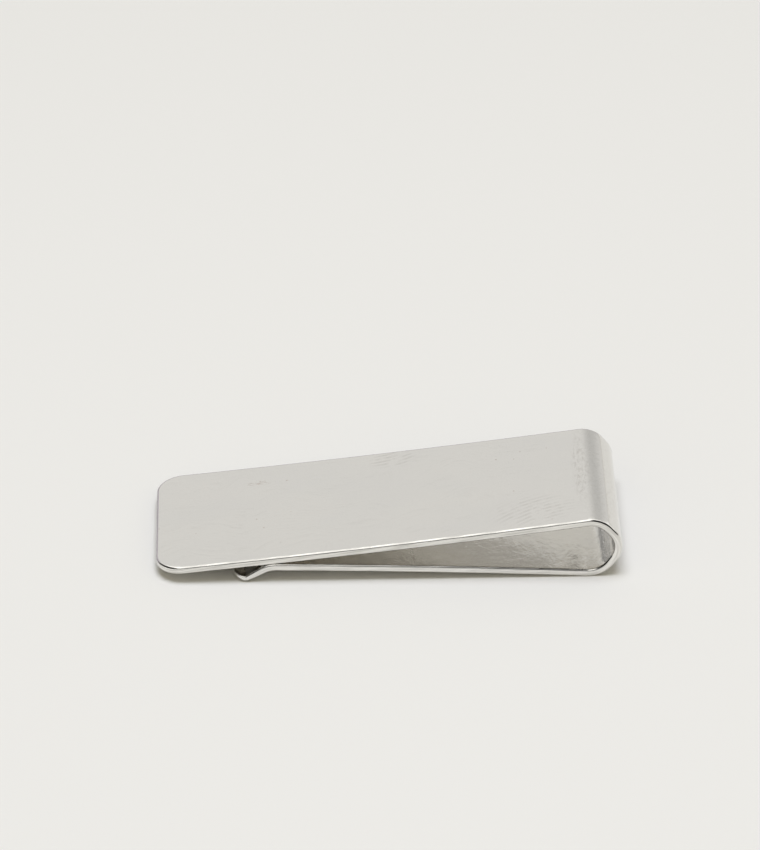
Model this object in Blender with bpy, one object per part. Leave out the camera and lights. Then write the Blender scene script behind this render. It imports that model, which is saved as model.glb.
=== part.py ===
"""Money clip: one strip of spring steel folded into a long hairpin.

The strip is followed along its centreline, from the tip of the front leaf, over the shoulder,
round the nose, under the heel and back along the shorter back leaf to the grip knee and the
lead-in lip. Each functional stretch of the strip is a solid of its own. The spring action of
the loop is a hinge across the nose: the front half turns about it, the back half stays.

Frame: metres, +Z up, +X from the tips to the loop, Y across the strip. The clip lies on Z = 0
on its heel and its lip, with the middle of its length and width at X = 0 and Y = 0.
"""

import math

import bmesh
import bpy
from mathutils import Vector

MM = 0.001

# The strip
STRIP_WIDTH = 20.0 * MM
STRIP_THICKNESS = 0.9 * MM
EDGE_ROUND = 0.2 * MM
TIP_CORNER_RADIUS = 3.1 * MM
LIP_CORNER_RADIUS = 2.2 * MM

# The folded shape, in the order in which the centreline meets it
FRONT_SLOPE = math.radians(6.7)
FRONT_LENGTH = 50.3 * MM
SHOULDER_RADIUS = 2.7 * MM
SHOULDER_TURN = math.radians(57.0)
SHOULDER_FLAT = 0.78 * MM
NOSE_RADIUS = 2.8 * MM
NOSE_TURN = math.radians(74.0)
HEEL_FLAT = 0.7 * MM
HEEL_RADIUS = 3.1 * MM
HEEL_TURN = math.radians(58.0)
BACK_LENGTH = 36.0 * MM
KNEE_RADIUS = 3.2 * MM
KNEE_TURN = math.radians(-36.0)
LIP_FLAT = 0.88 * MM
LIP_CURL_RADIUS = 1.7 * MM
LIP_CURL_TURN = math.radians(28.0)
LIP_END_FLAT = 1.5 * MM

# How it is divided and meshed
SECTION_GAP = 0.3 * MM
ARC_STEP = math.radians(6.0)
CORNER_STEPS = 8
EDGE_SEGMENTS = 2
PLACING_SAMPLES = 4000

STEEL_COLOUR = (0.78, 0.77, 0.75, 1.0)
STEEL_ROUGHNESS = 0.14


def clear_scene():
    for obj in list(bpy.data.objects):
        bpy.data.objects.remove(obj, do_unlink=True)


def arc(radius, turn):
    """A bend as (length, turn). A positive turn closes the clip."""
    return (radius * abs(turn), turn)


class Centreline:
    """Straight runs and arcs laid end to end in the XZ plane, read by distance along them."""

    def __init__(self, runs):
        self.runs = []
        x, z, heading, distance = 0.0, 0.0, FRONT_SLOPE, 0.0
        for length, turn in runs:
            self.runs.append((distance, length, turn, x, z, heading))
            x, z, heading = self.walk(x, z, heading, length, turn, length)
            distance += length
        self.length = distance
        self.shift_x, self.shift_z = 0.0, 0.0
        self.place()

    @staticmethod
    def walk(x, z, heading, length, turn, distance):
        if turn == 0.0:
            return x + distance * math.cos(heading), z + distance * math.sin(heading), heading
        radius = length / turn
        end = heading - distance / radius
        x += radius * (math.sin(heading) - math.sin(end))
        z += radius * (math.cos(end) - math.cos(heading))
        return x, z, end

    def at(self, distance):
        """(x, z, heading) at this distance from the front leaf's tip."""
        start, length, turn, x, z, heading = [run for run in self.runs if run[0] <= distance][-1]
        x, z, heading = self.walk(x, z, heading, length, turn, distance - start)
        return x + self.shift_x, z + self.shift_z, heading

    def point(self, distance, y, out):
        """The point at y across the strip, and this far out of the centreline."""
        x, z, heading = self.at(distance)
        return Vector((x - out * math.sin(heading), y, z + out * math.cos(heading)))

    def stations(self, start, end):
        """Distances that follow the arcs closely and leave the straight runs whole."""
        found = {start, end}
        for run_start, length, turn, *_ in self.runs:
            steps = max(1, math.ceil(abs(turn) / ARC_STEP))
            found |= {run_start + length * i / steps for i in range(steps + 1)}
        return sorted(s for s in found if start <= s <= end)

    def place(self):
        """Puts the folded strip on Z = 0, with its length centred on X = 0."""
        along = [self.length * i / PLACING_SAMPLES for i in range(PLACING_SAMPLES + 1)]
        sides = [self.point(s, 0.0, side * STRIP_THICKNESS / 2) for s in along for side in (-1, 1)]
        self.shift_x = -(max(p.x for p in sides) + min(p.x for p in sides)) / 2
        self.shift_z = -min(p.z for p in sides)


def make_steel(name):
    material = bpy.data.materials.new(name)
    material.use_nodes = True
    shader = material.node_tree.nodes["Principled BSDF"]
    shader.inputs["Base Color"].default_value = STEEL_COLOUR
    shader.inputs["Metallic"].default_value = 1.0
    shader.inputs["Roughness"].default_value = STEEL_ROUGHNESS
    return material


def corner_rungs(tip, inward, radius):
    """(distance, half width) along a tip's rounded corner, from its end inward."""
    rungs = []
    for i in range(CORNER_STEPS + 1):
        angle = math.pi / 2 * i / CORNER_STEPS
        distance = tip + inward * radius * (1 - math.cos(angle))
        rungs.append((distance, STRIP_WIDTH / 2 - radius * (1 - math.sin(angle))))
    return rungs


def section_rungs(line, start, end, start_radius, end_radius):
    rungs = []
    if start_radius:
        rungs += corner_rungs(start, 1, start_radius)
    if end_radius:
        rungs += corner_rungs(end, -1, end_radius)
    taken = [distance for distance, _ in rungs]
    for distance in line.stations(start + start_radius, end - end_radius):
        # Where the corner already has a rung, a second one would only make a sliver.
        if all(abs(distance - other) > EDGE_ROUND for other in taken):
            rungs.append((distance, STRIP_WIDTH / 2))
    return sorted(rungs)


def make_section(name, line, start, end, start_radius=0.0, end_radius=0.0):
    """One stretch of the strip. A radius marks a free end, and the other ends are cut square."""
    mesh = bmesh.new()
    weight = mesh.edges.layers.float.new("bevel_weight_edge")
    half = STRIP_THICKNESS / 2
    rings = []
    for distance, width in section_rungs(line, start, end, start_radius, end_radius):
        corners = ((-width, half), (width, half), (width, -half), (-width, -half))
        rings.append([mesh.verts.new(line.point(distance, y, out)) for y, out in corners])
    for ring, following in zip(rings, rings[1:]):
        for i in range(4):
            j = (i + 1) % 4
            mesh.faces.new((ring[i], ring[j], following[j], following[i]))
    caps = [mesh.faces.new(rings[0][::-1]), mesh.faces.new(rings[-1])]
    bmesh.ops.recalc_face_normals(mesh, faces=mesh.faces)
    round_free_edges(mesh, weight, rings, caps, (start_radius, end_radius))

    data = bpy.data.meshes.new(name)
    mesh.to_mesh(data)
    mesh.free()
    data.shade_smooth()
    data.set_sharp_from_angle(angle=math.radians(40.0))
    data.materials.append(make_steel(name + "_steel"))
    obj = bpy.data.objects.new(name, data)
    bpy.context.collection.objects.link(obj)
    bevel = obj.modifiers.new("edge_round", "BEVEL")
    bevel.limit_method = "WEIGHT"
    bevel.width = EDGE_ROUND
    bevel.segments = EDGE_SEGMENTS
    return obj


def round_free_edges(mesh, weight, rings, caps, radii):
    """Marks the strip's long edges, and the edges across a free tip, for the bevel."""
    for ring, following in zip(rings, rings[1:]):
        for i in range(4):
            mesh.edges.get((ring[i], following[i]))[weight] = 1.0
    for cap, ring, radius in zip(caps, (rings[0], rings[-1]), radii):
        if radius:
            mesh.edges.get((ring[0], ring[1]))[weight] = 1.0
            mesh.edges.get((ring[2], ring[3]))[weight] = 1.0


def make_axis_empty(name, place):
    axis = bpy.data.objects.new(name, None)
    axis.location = place
    axis.empty_display_size = STRIP_WIDTH / 2
    bpy.context.collection.objects.link(axis)
    return axis


def hang_on(axis, obj):
    """Parents the object to the axis and leaves it where it is."""
    obj.parent = axis
    obj.matrix_parent_inverse = axis.matrix_world.inverted()


def main():
    clear_scene()
    half_nose = (NOSE_RADIUS * NOSE_TURN / 2, NOSE_TURN / 2)
    stretches = {
        "front_leaf": [(FRONT_LENGTH, 0.0)],
        "shoulder_bend": [arc(SHOULDER_RADIUS, SHOULDER_TURN), (SHOULDER_FLAT, 0.0), half_nose],
        "heel_bend": [half_nose, (HEEL_FLAT, 0.0), arc(HEEL_RADIUS, HEEL_TURN)],
        "back_leaf": [(BACK_LENGTH, 0.0)],
        "grip_knee": [arc(KNEE_RADIUS, KNEE_TURN)],
        "lead_in_lip": [(LIP_FLAT, 0.0), arc(LIP_CURL_RADIUS, LIP_CURL_TURN), (LIP_END_FLAT, 0.0)],
    }
    line = Centreline([run for runs in stretches.values() for run in runs])
    free_ends = {"front_leaf": (TIP_CORNER_RADIUS, 0.0), "lead_in_lip": (0.0, LIP_CORNER_RADIUS)}

    made = {}
    start = 0.0
    for name, runs in stretches.items():
        end = start + sum(length for length, _ in runs)
        start_radius, end_radius = free_ends.get(name, (0.0, 0.0))
        cut_start = start if start_radius else start + SECTION_GAP / 2
        cut_end = end if end_radius else end - SECTION_GAP / 2
        made[name] = make_section(name, line, cut_start, cut_end, start_radius, end_radius)
        if name == "shoulder_bend":
            nose = line.point(end, 0.0, 0.0)
        start = end

    axis = make_axis_empty("clamp_flex_axis", nose)
    bpy.context.view_layer.update()
    for name in ("front_leaf", "shoulder_bend"):
        hang_on(axis, made[name])
    bpy.context.view_layer.update()


main()
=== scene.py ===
import math

import bmesh
import bpy
import numpy as np
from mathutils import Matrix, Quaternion, Vector


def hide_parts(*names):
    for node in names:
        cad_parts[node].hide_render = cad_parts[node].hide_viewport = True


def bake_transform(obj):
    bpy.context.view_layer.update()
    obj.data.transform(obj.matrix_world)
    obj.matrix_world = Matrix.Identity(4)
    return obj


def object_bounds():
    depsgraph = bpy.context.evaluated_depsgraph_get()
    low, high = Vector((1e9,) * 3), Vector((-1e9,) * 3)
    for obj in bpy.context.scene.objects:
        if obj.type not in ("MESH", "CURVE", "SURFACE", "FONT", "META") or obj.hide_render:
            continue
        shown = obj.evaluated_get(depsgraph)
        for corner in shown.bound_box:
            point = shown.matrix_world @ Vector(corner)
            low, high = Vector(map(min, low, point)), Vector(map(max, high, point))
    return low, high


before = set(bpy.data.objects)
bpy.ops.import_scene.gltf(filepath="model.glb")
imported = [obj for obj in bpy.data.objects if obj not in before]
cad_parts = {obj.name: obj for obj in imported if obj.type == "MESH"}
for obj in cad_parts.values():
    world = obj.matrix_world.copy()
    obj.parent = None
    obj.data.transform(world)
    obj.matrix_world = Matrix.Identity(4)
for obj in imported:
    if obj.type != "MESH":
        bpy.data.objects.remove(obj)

CAD_LOW, CAD_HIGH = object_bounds()

MM = 0.001

# The strip and its fold, read from the photo along the strip's middle. A positive turn closes the clip.
# The CAD model has flat leaves, a blunter lip and a smaller edge round.
STRIP_WIDTH = CAD_HIGH.y - CAD_LOW.y
STRIP_THICKNESS = 0.9 * MM
EDGE_ROUND = 0.26 * MM
TIP_CORNER_RADIUS = 3.1 * MM
LIP_CORNER_RADIUS = 1.5 * MM
FRONT_SLOPE = math.radians(6.7)
FRONT_LENGTH = 50.3 * MM
FRONT_BOW = math.radians(1.95)
SHOULDER_RADIUS = 2.7 * MM
SHOULDER_TURN = math.radians(57.0)
SHOULDER_FLAT = 0.78 * MM
NOSE_RADIUS = 2.8 * MM
NOSE_TURN = math.radians(74.0)
HEEL_FLAT = 0.7 * MM
HEEL_RADIUS = 3.1 * MM
HEEL_TURN = math.radians(58.07)
BACK_LENGTH = 36.0 * MM
BACK_BOW = math.radians(1.8)
KNEE_RADIUS = 3.2 * MM
KNEE_TURN = math.radians(-36.0)
LIP_FLAT = 1.66 * MM
LIP_CURL_RADIUS = 0.9 * MM
LIP_CURL_TURN = math.radians(46.0)
LIP_END_FLAT = 1.15 * MM
LIP_GROUND_LENGTH = 3.2 * MM
LIP_GROUND_DEPTH = 0.55 * MM

# Mesh fineness
ARC_STEP = math.radians(3.0)
STRAIGHT_STEP = 1.0 * MM
CORNER_STEPS = 16
COLUMNS = 24
ROUND_STEPS = 5
PLACING_SAMPLES = 4000
STATION_DIGITS = 9

# Camera, in degrees and metres
CAMERA_TARGET = Vector((-0.74 * MM, 0.0, 14.97 * MM))
CAMERA_AZIMUTH = 1.22
CAMERA_ELEVATION = 32.2
CAMERA_ROLL = -0.33
CAMERA_DISTANCE = 644.3 * MM
CAMERA_LENS = 235.2
CAMERA_NEAR = 0.01

GLOSSY_BOUNCES = 12

# Light levels, as radiance in each direction of the studio
STUDIO_WHITE = (1.0, 0.99, 0.965, 1.0)
WALL_LEFT = 0.8
WALL_RIGHT = 0.6
WALL_RETURN = 0.12
WALL_FOOT = 0.3
ROOM = 0.03
ROOM_FRONT = 0.24
SIDE_BOX = 1.3
OVERHEAD_BOX = 1.36
FILL_FRONT = 0.5
FILL_BEHIND = 0.24
FILL_COLOUR = (1.07, 1.0, 0.77, 1.0)
BACKDROP = 0.83

# Where each part of the studio fades in, as the direction's share east, north or up at its start and end
WALL_NORTH = (0.35, 0.7)
WALL_EAST = (-0.04, 0.32)
WALL_RETURN_EAST = (0.4, 0.56)
WALL_FOOT_UP = (0.34, 0.12)
WALL_FOOT_EAST = (0.12, -0.02)
ROOM_FRONT_NORTH = (-0.6, -0.85)
ROOM_FRONT_UP = (0.7, 0.5)
ROOM_FRONT_EAST = (0.25, 0.08)
SIDE_BOX_EAST = (0.56, 0.66)
SIDE_BOX_NORTH = (0.28, 0.42)
SIDE_BOX_UP = (0.03, 0.12)
OVERHEAD_UP = (0.6, 0.74)
OVERHEAD_LEFT = (-0.52, -0.36)
OVERHEAD_RIGHT = (0.14, 0.0)
OVERHEAD_BEHIND = (0.1, 0.3)
FILL_NORTH = (-0.3, 0.3)

# The light on the table, in metres, watts and degrees
SOFTBOX_SIZE = 0.62
SOFTBOX_HEIGHT = 1.0
SOFTBOX_POWER = 6.75
SOFTBOX_LEAN = 4.0
SOFTBOX_COLOUR = (0.98, 1.005, 1.09)

FLOOR_REACH = 3.0
FLOOR_COLOUR = (0.823, 0.820, 0.812, 1.0)
FLOOR_ROUGHNESS = 0.9
FLOOR_SHEEN = 0.1

STEEL_COOL = (0.783, 0.771, 0.745, 1.0)
STEEL_WARM = (0.797, 0.783, 0.752, 1.0)
GREASE = (0.6, 0.58, 0.55, 1.0)
DIRT = (0.32, 0.22, 0.15, 1.0)
EDGE_LIGHT = (0.9, 0.885, 0.85, 1.0)
EDGE_DARK = (0.6, 0.59, 0.56, 1.0)
# Painted dark reflection: the purple grey laid on the edge's upper rounding
PAINTED_RIM_REFLECTION = (0.56, 0.52, 0.57, 1.0)

# Depth of the relief
WAVE_DEPTH = 0.0016 * MM
PUCKER_DEPTH = 0.05 * MM
FINE_DEPTH = 0.0006 * MM
LINE_DEPTH = 0.002 * MM
NICK_DEPTH = 0.003 * MM

# Marks on the outer face: the centre of each and how far it reaches, as distance and width in mm
LOW_PRINT = ((44.3, -6.4), (6.2, 3.8))
LOW_PRINT_CORE = (39.6, -15.5)
HIGH_PRINT = ((28.2, 8.4), (3.8, 2.4))
HIGH_PRINT_CORE = (20.5, 14.5)
RUB = ((50.1, 1.5), (1.3, 9.5))
BEND_WEAR = ((52.0, 0.0), (3.6, 16.0))
STAIN = ((12.2, 6.3), (1.9, 0.7))

# The edge's darker rim, a painted dark reflection on the upper rounding away from the near edge, as height
# and width on the strip in mm at its start and end
PAINTED_RIM_HEIGHT = (0.18, 0.26)
PAINTED_RIM_SIDE = (-9.0, -7.5)


def arc(radius, turn):
    return (radius * abs(turn), turn)


class Centreline:
    """The strip's middle in the XZ plane, as runs of even curvature, read by distance along it."""

    def __init__(self, runs, slope):
        self.runs = []
        x, z, heading, distance = 0.0, 0.0, slope, 0.0
        for length, turn in runs:
            self.runs.append((distance, length, turn, x, z, heading))
            x, z, heading = self.walk(x, z, heading, length, turn, length)
            distance += length
        self.length = distance
        self.shift_x, self.shift_z = 0.0, 0.0
        self.place()

    @staticmethod
    def walk(x, z, heading, length, turn, distance):
        if turn == 0.0:
            return x + distance * math.cos(heading), z + distance * math.sin(heading), heading
        radius = length / turn
        end = heading - distance / radius
        x += radius * (math.sin(heading) - math.sin(end))
        z += radius * (math.cos(end) - math.cos(heading))
        return x, z, end

    def at(self, distance):
        start, length, turn, x, z, heading = [r for r in self.runs if r[0] <= max(distance, 0.0)][-1]
        x, z, heading = self.walk(x, z, heading, length, turn, distance - start)
        return x + self.shift_x, z + self.shift_z, heading

    def point(self, distance, y, out):
        x, z, heading = self.at(distance)
        return Vector((x - out * math.sin(heading), y, z + out * math.cos(heading)))

    def skin(self, distance, y, out):
        """A point of the strip's body, whose outer face is ground away towards the lip's end."""
        ground = max(0.0, distance - self.length + LIP_GROUND_LENGTH) / LIP_GROUND_LENGTH
        share = (out + STRIP_THICKNESS / 2) / STRIP_THICKNESS
        return self.point(distance, y, out - share * ground * LIP_GROUND_DEPTH)

    def stations(self, start, end):
        found = {start, end}
        for run_start, length, turn, *_ in self.runs:
            steps = max(1, math.ceil(abs(turn) / ARC_STEP), math.ceil(length / STRAIGHT_STEP))
            found |= {run_start + length * i / steps for i in range(steps + 1)}
        return sorted({round(s, STATION_DIGITS) for s in found if start <= s <= end})

    def place(self):
        """Lays the folded strip on the CAD model's lowest level, with its loop at the CAD loop's end."""
        along = [self.length * i / PLACING_SAMPLES for i in range(PLACING_SAMPLES + 1)]
        sides = [self.skin(s, 0.0, side * STRIP_THICKNESS / 2) for s in along for side in (-1, 1)]
        self.shift_x = CAD_HIGH.x - max(p.x for p in sides)
        self.shift_z = CAD_LOW.z - min(p.z for p in sides)


def corner_rungs(radius):
    """(distance from the end, half width, outward angle) round a corner, inset by the edge round."""
    rungs = []
    for i in range(CORNER_STEPS + 1):
        angle = math.pi / 2 * i / CORNER_STEPS
        inner = radius - EDGE_ROUND
        width = STRIP_WIDTH / 2 - radius + inner * math.sin(angle)
        rungs.append((radius - inner * math.cos(angle), width, angle))
    return rungs


def strip_rungs(line):
    """(distance, half width, outward direction along the strip, outward direction across it)."""
    rungs = []
    for distance, width, angle in corner_rungs(TIP_CORNER_RADIUS):
        rungs.append((distance, width, -math.cos(angle), math.sin(angle)))
    full = STRIP_WIDTH / 2 - EDGE_ROUND
    for distance in line.stations(TIP_CORNER_RADIUS, line.length - LIP_CORNER_RADIUS)[1:-1]:
        rungs.append((distance, full, 0.0, 1.0))
    for distance, width, angle in reversed(corner_rungs(LIP_CORNER_RADIUS)):
        rungs.append((line.length - distance, width, math.cos(angle), math.sin(angle)))
    return rungs


def edge_rings():
    """(outward offset, height) of each ring from the outer face, round the edge, to the inner face."""
    flat = STRIP_THICKNESS / 2 - EDGE_ROUND
    rings = []
    for side in (1, -1):
        for i in range(ROUND_STEPS + 1):
            angle = math.pi / 2 * i / ROUND_STEPS
            if side < 0:
                angle = math.pi / 2 - angle
            rings.append((EDGE_ROUND * math.sin(angle), side * (flat + EDGE_ROUND * math.cos(angle))))
    return rings


def build_strip(line):
    """The whole strip as one closed mesh of quads, which keeps each point's place on the strip."""
    rungs = strip_rungs(line)
    last = len(rungs) - 1
    across = [2 * k / COLUMNS - 1 for k in range(COLUMNS + 1)]

    # The way round the outline: across the tip, along +Y, across the lip, back along -Y
    around = [(0, k) for k in range(COLUMNS + 1)]
    around += [(j, COLUMNS) for j in range(1, last + 1)]
    around += [(last, k) for k in range(COLUMNS - 1, -1, -1)]
    around += [(j, 0) for j in range(last - 1, 0, -1)]

    places = []

    def add(distance, y, out):
        places.append((distance, y, out))
        return len(places) - 1

    half = STRIP_THICKNESS / 2
    faces, edge_faces = [], []
    outer = [[add(d, w * a, half) for a in across] for d, w, _, _ in rungs]
    inner = [[add(d, w * a, -half) for a in across] for d, w, _, _ in rungs]
    for j in range(last):
        for k in range(COLUMNS):
            faces.append((outer[j][k], outer[j + 1][k], outer[j + 1][k + 1], outer[j][k + 1]))
            faces.append((inner[j][k], inner[j][k + 1], inner[j + 1][k + 1], inner[j + 1][k]))

    rings = []
    profile = edge_rings()
    for i, (offset, out) in enumerate(profile):
        if i in (0, len(profile) - 1):
            grid = outer if i == 0 else inner
            rings.append([grid[j][k] for j, k in around])
            continue
        ring = []
        for j, k in around:
            distance, width, along, sideways = rungs[j]
            y = width * across[k]
            if 0 < k < COLUMNS:
                ring.append(add(distance + offset * math.copysign(1.0, along), y, out))
            else:
                sign = 1 if k else -1
                ring.append(add(distance + offset * along, y + offset * sideways * sign, out))
        rings.append(ring)
    count = len(around)
    for upper, lower in zip(rings, rings[1:]):
        for i in range(count):
            j = (i + 1) % count
            edge_faces.append((upper[i], upper[j], lower[j], lower[i]))

    mesh = bpy.data.meshes.new("folded_strip")
    mesh.from_pydata([line.skin(*place) for place in places], [], faces + edge_faces)
    mesh.polygons.foreach_set("material_index", [0] * len(faces) + [1] * len(edge_faces))
    mesh.shade_smooth()
    attribute = mesh.attributes.new("strip_mm", "FLOAT_VECTOR", "POINT")
    attribute.data.foreach_set("vector", (np.array(places, np.float32) / MM).ravel())
    fix = bmesh.new()
    fix.from_mesh(mesh)
    bmesh.ops.recalc_face_normals(fix, faces=fix.faces)
    fix.to_mesh(mesh)
    fix.free()
    obj = bpy.data.objects.new("folded_strip", mesh)
    bpy.context.scene.collection.objects.link(obj)
    weighted = obj.modifiers.new("face_weighted_normals", "WEIGHTED_NORMAL")
    weighted.mode = "FACE_AREA"
    weighted.weight = 100
    return obj, np.array(places)


class Graph:
    """Short names for the nodes of one shader tree."""

    def __init__(self, tree):
        self.nodes = tree.nodes
        self.links = tree.links

    def add(self, kind, output=0, settings=None, **inputs):
        """An output of a new node. An input is named with underscores for spaces, or as _ and its index."""
        node = self.nodes.new("ShaderNode" + kind)
        for name, value in (settings or {}).items():
            setattr(node, name, value)
        for name, value in inputs.items():
            key = int(name[1:]) if name[0] == "_" else name.replace("_", " ")
            self.plug(value, node.inputs[key])
        return node.outputs[output]

    def plug(self, value, socket):
        if isinstance(value, bpy.types.NodeSocket):
            self.links.new(value, socket)
        else:
            socket.default_value = value

    def math(self, operation, a, b):
        return self.add("Math", settings={"operation": operation}, _0=a, _1=b)

    def multiply(self, *factors):
        result = factors[0]
        for factor in factors[1:]:
            result = self.math("MULTIPLY", result, factor)
        return result

    def plus(self, a, b):
        return self.math("ADD", a, b)

    def step(self, value, start, end, low=0.0, high=1.0):
        """Goes smoothly from low to high as the value goes from start to end."""
        smooth = {"interpolation_type": "SMOOTHSTEP"}
        ends = dict(From_Min=start, From_Max=end, To_Min=low, To_Max=high)
        return self.add("MapRange", settings=smooth, Value=value, **ends)

    def blend(self, factor, a, b):
        """From a to b, for numbers."""
        return self.add("Mix", settings={"data_type": "FLOAT"}, _0=factor, _2=a, _3=b)

    def tint(self, factor, a, b):
        """From a to b, for colours."""
        return self.add("Mix", output=2, settings={"data_type": "RGBA"}, _0=factor, _6=a, _7=b)

    def scaled(self, vector, scale, shift=(0.0, 0.0, 0.0)):
        """The vector times the scale, plus the shift."""
        settings = {"operation": "MULTIPLY_ADD"}
        return self.add("VectorMath", settings=settings, _0=vector, _1=scale, _2=shift)

    def noise(self, vector, scale, detail=2.0, roughness=0.5):
        return self.add("TexNoise", Vector=vector, Scale=scale, Detail=detail, Roughness=roughness)

    def warped(self, vector, scale, detail, amount):
        """The vector, pushed about along and across the strip by noise."""
        push = self.add("TexNoise", output=1, Vector=vector, Scale=scale, Detail=detail)
        return self.scaled(push, (amount, amount, 0.0), vector)


def make_world():
    """The studio that the steel mirrors: an overhead box, a pale wall behind and dark sides.

    The table is lit by a plain fill instead, and the camera sees a plain backdrop.
    """
    world = bpy.data.worlds.new("studio")
    bpy.context.scene.world = world
    world.use_nodes = True
    graph = Graph(world.node_tree)
    direction = graph.add("TexCoord")
    parts = graph.add("SeparateXYZ", _0=direction).node
    east, north, up = parts.outputs[0], parts.outputs[1], parts.outputs[2]

    wall = graph.step(east, *WALL_EAST, WALL_LEFT, WALL_RIGHT)
    wall = graph.plus(wall, graph.step(east, *WALL_RETURN_EAST, 0.0, WALL_RETURN))
    foot = graph.multiply(graph.step(up, *WALL_FOOT_UP), graph.step(east, *WALL_FOOT_EAST))
    wall = graph.blend(foot, wall, WALL_FOOT)
    front = graph.multiply(
        graph.step(north, *ROOM_FRONT_NORTH),
        graph.step(up, *ROOM_FRONT_UP),
        graph.step(east, *ROOM_FRONT_EAST),
    )
    room = graph.blend(front, ROOM, ROOM_FRONT)
    level = graph.blend(graph.step(north, *WALL_NORTH), room, wall)

    side_box = graph.multiply(
        graph.step(east, *SIDE_BOX_EAST),
        graph.step(north, *SIDE_BOX_NORTH),
        graph.step(up, *SIDE_BOX_UP),
    )
    level = graph.blend(side_box, level, SIDE_BOX)
    box_width = graph.multiply(graph.step(east, *OVERHEAD_LEFT), graph.step(east, *OVERHEAD_RIGHT))
    behind = graph.multiply(graph.step(north, *OVERHEAD_BEHIND), graph.step(east, *OVERHEAD_LEFT))
    box_width = graph.math("MAXIMUM", box_width, behind)
    overhead = graph.multiply(graph.step(up, *OVERHEAD_UP), box_width)
    level = graph.blend(overhead, level, OVERHEAD_BOX)

    rays = graph.add("LightPath").node.outputs
    fill = graph.step(north, *FILL_NORTH, FILL_FRONT, FILL_BEHIND)
    level = graph.blend(rays["Is Diffuse Ray"], level, fill)
    level = graph.blend(rays["Is Camera Ray"], level, BACKDROP)
    background = graph.nodes["Background"]
    colour = graph.tint(rays["Is Diffuse Ray"], STUDIO_WHITE, FILL_COLOUR)
    graph.plug(colour, background.inputs["Color"])
    graph.plug(level, background.inputs["Strength"])


def make_softbox():
    """The box that lights the table. The steel mirrors the box painted in the world instead."""
    data = bpy.data.lights.new("softbox", "AREA")
    data.shape = "DISK"
    data.size = SOFTBOX_SIZE
    data.energy = SOFTBOX_POWER
    data.color = SOFTBOX_COLOUR
    softbox = bpy.data.objects.new("softbox", data)
    bpy.context.scene.collection.objects.link(softbox)
    lean = math.radians(SOFTBOX_LEAN)
    softbox.location = (0.0, -SOFTBOX_HEIGHT * math.sin(lean), SOFTBOX_HEIGHT * math.cos(lean))
    softbox.rotation_euler = (-lean, 0.0, 0.0)
    softbox.visible_glossy = False


def make_floor():
    mesh = bpy.data.meshes.new("floor")
    signs = [(-1, -1), (1, -1), (1, 1), (-1, 1)]
    corners = [(x * FLOOR_REACH, y * FLOOR_REACH, CAD_LOW.z) for x, y in signs]
    mesh.from_pydata(corners, [], [(0, 1, 2, 3)])
    floor = bpy.data.objects.new("floor", mesh)
    bpy.context.scene.collection.objects.link(floor)
    material = bpy.data.materials.new("pale_floor")
    material.use_nodes = True
    shader = material.node_tree.nodes["Principled BSDF"]
    shader.inputs["Base Color"].default_value = FLOOR_COLOUR
    shader.inputs["Roughness"].default_value = FLOOR_ROUGHNESS
    shader.inputs["Specular IOR Level"].default_value = FLOOR_SHEEN
    mesh.materials.append(material)


def spot(graph, place, centre, reach):
    """1 at a place on the strip, given as distance and width in mm, fading to 0 at its reach."""
    scale = tuple(1.0 / side for side in reach)
    shift = tuple(-at / side for at, side in zip(centre, reach))
    near = graph.scaled(place, (*scale, 0.0), (*shift, 0.0))
    length = graph.add("VectorMath", output=1, settings={"operation": "LENGTH"}, _0=near)
    return graph.step(length, 1.0, 0.35)


def fingerprint(graph, place, core, spread):
    """Ridges of a touched spot: wavering rings round a core, 0 to 1, about 0.45 mm apart."""
    shift = (-core[0], -core[1], 0.0)
    rings = {"wave_type": "RINGS", "rings_direction": "SPHERICAL"}
    centred = graph.scaled(place, (0.8, 1.0, 0.0), shift)
    wave = graph.add(
        "TexWave", output=1, settings=rings, Vector=centred, Scale=0.5, Distortion=0.9, Detail=2.0,
        Detail_Scale=0.35,
    )
    broken = graph.step(graph.noise(place, 0.9, 3.0), 0.34, 0.6)
    return graph.multiply(wave, spread, broken)


def scratches(graph, place, angle, spacing, amount):
    """Fine straight hairlines at an angle to the strip, 0 to 1. A larger amount keeps more of them."""
    about_z = {"rotation_type": "Z_AXIS"}
    turned = graph.add("VectorRotate", settings=about_z, Vector=place, Angle=angle)
    stretched = graph.scaled(turned, (0.12, 1.0 / spacing, 0.3))
    lines = graph.noise(stretched, 1.0, 1.0)
    return graph.step(lines, 0.74 - amount, 0.8 - amount)


def steel_shader(material):
    """The graph of a new steel, its Principled shader and its place on the strip in mm."""
    material.use_nodes = True
    graph = Graph(material.node_tree)
    shader = graph.nodes["Principled BSDF"]
    shader.inputs["Metallic"].default_value = 1.0
    place = graph.add("Attribute", output=1, settings={"attribute_name": "strip_mm"})
    return graph, shader, place


def bump(graph, height, depth, normal=None):
    """The normal of a surface that rises by the depth, in metres, as the height goes from 0 to 1."""
    node = graph.add("Bump", Height=height, Distance=depth, Strength=1.0).node
    if normal is not None:
        graph.links.new(normal, node.inputs["Normal"])
    return node.outputs[0]


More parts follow.
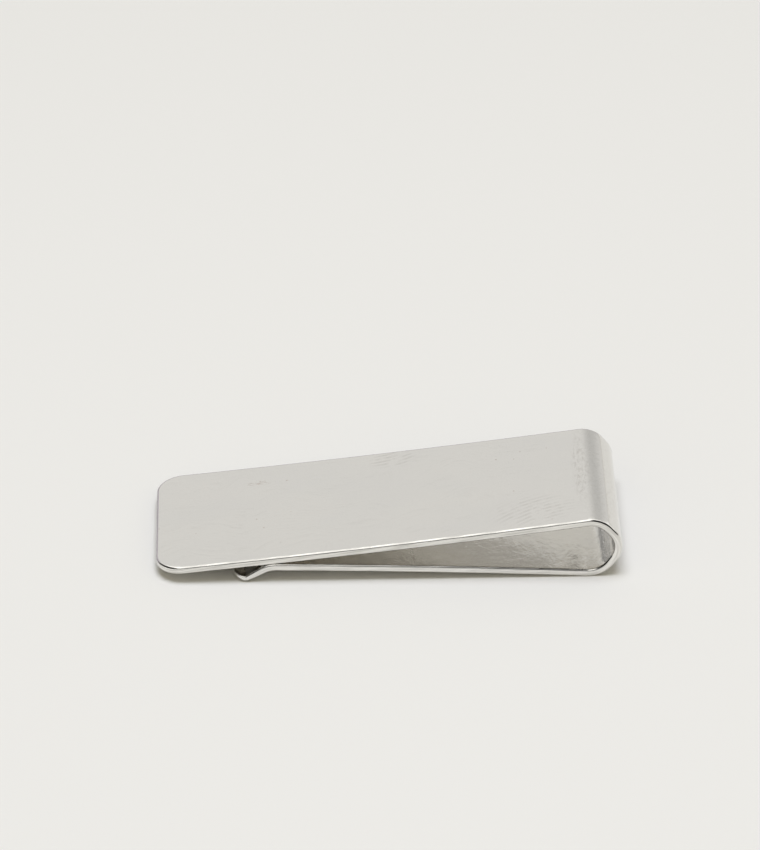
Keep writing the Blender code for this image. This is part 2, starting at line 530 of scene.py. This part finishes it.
def polished_face():
    """Mirror-polished steel that has been handled: prints, wipe marks, hairlines and specks of dirt."""
    material = bpy.data.materials.new("polished_face")
    graph, shader, place = steel_shader(material)
    out = graph.add("SeparateXYZ", _0=place).node.outputs[2]
    outside = graph.math("GREATER_THAN", out, 0.0)
    inside = graph.math("SUBTRACT", 1.0, outside)

    # Touched spots: two prints on the front leaf, a rubbed line before the bend and wear on the bend
    low_print = fingerprint(graph, place, LOW_PRINT_CORE, spot(graph, place, *LOW_PRINT))
    high_print = fingerprint(graph, place, HIGH_PRINT_CORE, spot(graph, place, *HIGH_PRINT))
    ridges = graph.multiply(outside, graph.math("MAXIMUM", low_print, high_print))
    rub_grain = graph.noise(graph.scaled(place, (1.6, 0.45, 0.0)), 1.6, 4.0, 0.65)
    rub_grain = graph.step(rub_grain, 0.42, 0.66)
    rub = graph.multiply(outside, rub_grain, spot(graph, place, *RUB))
    bend_grain = graph.noise(graph.scaled(place, (1.2, 0.8, 0.0)), 2.2, 5.0, 0.7)
    bend_grain = graph.step(bend_grain, 0.45, 0.62)
    bend_wear = graph.multiply(outside, bend_grain, spot(graph, place, *BEND_WEAR))

    # Wiping haze in broad soft curls, finest at the loop's end of the leaf
    curled = graph.noise(graph.scaled(place, (0.16, 0.34, 0.3)), 1.0, 3.0)
    sweep = graph.warped(place, scale=0.12, detail=1.0, amount=9.0)
    wiped = graph.noise(graph.scaled(sweep, (0.35, 2.6, 0.3)), 1.0, 4.0, 0.6)
    haze = graph.multiply(graph.step(wiped, 0.45, 0.75), graph.step(curled, 0.35, 0.7))
    mottle = graph.noise(place, 2.4, 5.0, 0.7)

    along_hairs = scratches(graph, place, angle=0.35, spacing=0.07, amount=0.0)
    cross_hairs = scratches(graph, place, angle=2.2, spacing=0.06, amount=0.01)
    hairs = graph.math("MAXIMUM", along_hairs, cross_hairs)

    # Colour: slight clouding, grey in the touched spots, and a few brown specks
    clouds = graph.noise(graph.scaled(place, (0.09, 0.16, 0.3)), 1.0, 2.0)
    clean = graph.tint(graph.step(clouds, 0.3, 0.7), STEEL_COOL, STEEL_WARM)
    grain = graph.step(graph.noise(place, 7.0, 3.0, 0.6), 0.3, 0.7, 0.975, 1.012)
    clean = graph.add("VectorMath", settings={"operation": "SCALE"}, _0=clean, Scale=grain)
    marks = graph.math("MAXIMUM", graph.multiply(ridges, 0.5), graph.multiply(rub, 0.75))
    marks = graph.math("MAXIMUM", marks, graph.multiply(bend_wear, 0.32))
    marks = graph.math("MAXIMUM", marks, graph.multiply(haze, outside, 0.2))
    colour = graph.tint(graph.math("MINIMUM", marks, 1.0), clean, GREASE)
    cells = graph.add("TexVoronoi", Vector=place, Scale=0.75, Randomness=1.0)
    rare = graph.step(graph.noise(place, 0.55, 2.0), 0.56, 0.62)
    specks = graph.multiply(graph.step(cells, 0.09, 0.035), rare)
    stain_grain = graph.step(graph.noise(place, 3.5, 4.0, 0.7), 0.5, 0.68)
    stain = graph.multiply(outside, spot(graph, place, *STAIN), stain_grain)
    dirt = graph.math("MAXIMUM", graph.multiply(specks, 0.6), graph.multiply(stain, 0.6))
    colour = graph.tint(dirt, colour, DIRT)
    graph.plug(colour, shader.inputs["Base Color"])

    # Gloss: polished, duller in the marks
    gloss = graph.step(mottle, 0.3, 0.7, 0.05, 0.1)
    gloss = graph.plus(gloss, graph.multiply(ridges, 0.14))
    gloss = graph.plus(gloss, graph.multiply(haze, 0.1))
    gloss = graph.plus(gloss, graph.multiply(graph.math("MAXIMUM", rub, bend_wear), 0.16))
    gloss = graph.plus(gloss, graph.multiply(hairs, 0.12))
    gloss = graph.plus(gloss, graph.multiply(dirt, 0.4))
    graph.plug(gloss, shader.inputs["Roughness"])

    # Relief: slight polishing waves outside, and the puckered, less finished inside of the fold
    waves = graph.noise(graph.scaled(place, (0.45, 0.9, 0.4)), 1.0, 3.0)
    normal = bump(graph, waves, WAVE_DEPTH)
    crumpled = graph.warped(place, scale=0.5, detail=2.0, amount=2.4)
    pucker = graph.noise(graph.scaled(crumpled, (1.15, 0.7, 0.4)), 1.0, 5.0, 0.6)
    normal = bump(graph, graph.multiply(pucker, inside), PUCKER_DEPTH, normal)
    fine = graph.plus(graph.multiply(mottle, 0.5), graph.multiply(hairs, -0.6))
    fine = graph.plus(fine, graph.multiply(ridges, 0.8))
    fine = graph.plus(fine, graph.multiply(bend_wear, 0.8))
    normal = bump(graph, fine, FINE_DEPTH, normal)
    graph.plug(normal, shader.inputs["Normal"])
    return material


def polished_edge():
    """The strip's edge: lengthwise grinding lines under a quick polish, with small nicks, and a painted
    dark reflection along its upper rounding.
    """
    material = bpy.data.materials.new("polished_edge")
    graph, shader, place = steel_shader(material)
    about_y = {"rotation_type": "Y_AXIS"}
    slanted = graph.add("VectorRotate", settings=about_y, Vector=place, Angle=0.05)
    coarse = graph.noise(graph.scaled(slanted, (0.2, 0.5, 5.0)), 1.0, 2.0)
    fine = graph.noise(graph.scaled(slanted, (0.5, 1.4, 22.0)), 1.0, 3.0, 0.6)
    lines = graph.plus(graph.multiply(coarse, 0.6), graph.multiply(fine, 0.4))
    nicks = graph.step(graph.noise(graph.scaled(place, (1.1, 1.1, 3.0)), 1.0, 3.0), 0.68, 0.76)

    colour = graph.tint(graph.step(lines, 0.36, 0.62), EDGE_DARK, EDGE_LIGHT)
    colour = graph.tint(graph.multiply(nicks, 0.45), colour, GREASE)
    # Painted dark reflection: the upper rounding of the far edge and of the ends is tinted purple grey,
    # standing in for the dark room that it mirrors.
    sides = graph.add("SeparateXYZ", _0=place).node.outputs
    painted_rim_reflection = graph.multiply(graph.step(sides[2], *PAINTED_RIM_HEIGHT), graph.step(sides[1], *PAINTED_RIM_SIDE))
    colour = graph.tint(graph.multiply(painted_rim_reflection, 0.8), colour, PAINTED_RIM_REFLECTION)
    graph.plug(colour, shader.inputs["Base Color"])
    gloss = graph.step(lines, 0.35, 0.65, 0.1, 0.2)
    graph.plug(graph.plus(gloss, graph.multiply(nicks, 0.15)), shader.inputs["Roughness"])
    normal = bump(graph, lines, LINE_DEPTH)
    normal = bump(graph, graph.multiply(nicks, -1.0), NICK_DEPTH, normal)
    graph.plug(normal, shader.inputs["Normal"])
    return material


def make_camera():
    data = bpy.data.cameras.new("camera")
    data.lens = CAMERA_LENS
    data.clip_start = CAMERA_NEAR
    camera = bpy.data.objects.new("camera", data)
    bpy.context.scene.collection.objects.link(camera)
    azimuth, elevation = math.radians(CAMERA_AZIMUTH), math.radians(CAMERA_ELEVATION)
    forward = Vector((math.sin(azimuth) * math.cos(elevation),
                      math.cos(azimuth) * math.cos(elevation),
                      -math.sin(elevation)))
    camera.location = CAMERA_TARGET - forward * CAMERA_DISTANCE
    look = forward.to_track_quat("-Z", "Y")
    roll = Quaternion((0.0, 0.0, 1.0), math.radians(CAMERA_ROLL))
    camera.rotation_mode = "QUATERNION"
    camera.rotation_quaternion = look @ roll
    bpy.context.scene.camera = camera


def main():
    scene = bpy.context.scene
    scene.view_settings.view_transform = "Standard"
    scene.cycles.glossy_bounces = GLOSSY_BOUNCES
    make_camera()
    make_world()
    make_softbox()
    make_floor()

    half_nose = (NOSE_RADIUS * NOSE_TURN / 2, NOSE_TURN / 2)
    front = [(FRONT_LENGTH, -FRONT_BOW)]
    loop = [
        arc(SHOULDER_RADIUS, SHOULDER_TURN + FRONT_BOW / 2),
        (SHOULDER_FLAT, 0.0),
        half_nose,
        half_nose,
        (HEEL_FLAT, 0.0),
        arc(HEEL_RADIUS, HEEL_TURN + BACK_BOW / 2),
    ]
    back = [
        (BACK_LENGTH, -BACK_BOW),
        arc(KNEE_RADIUS, KNEE_TURN + BACK_BOW / 2),
        (LIP_FLAT, 0.0),
        arc(LIP_CURL_RADIUS, LIP_CURL_TURN),
        (LIP_END_FLAT, 0.0),
    ]
    line = Centreline(front + loop + back, FRONT_SLOPE - FRONT_BOW / 2)
    strip, places = build_strip(line)
    strip.data.materials.append(polished_face())
    strip.data.materials.append(polished_edge())
    loop_start = FRONT_LENGTH
    loop_end = line.runs[len(front + loop)][0]
    start, end = line.point(loop_start, 0, 0), line.point(loop_end, 0, 0)
    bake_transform(strip)
    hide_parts("front_leaf", "shoulder_bend", "heel_bend", "back_leaf", "grip_knee", "lead_in_lip")


main()
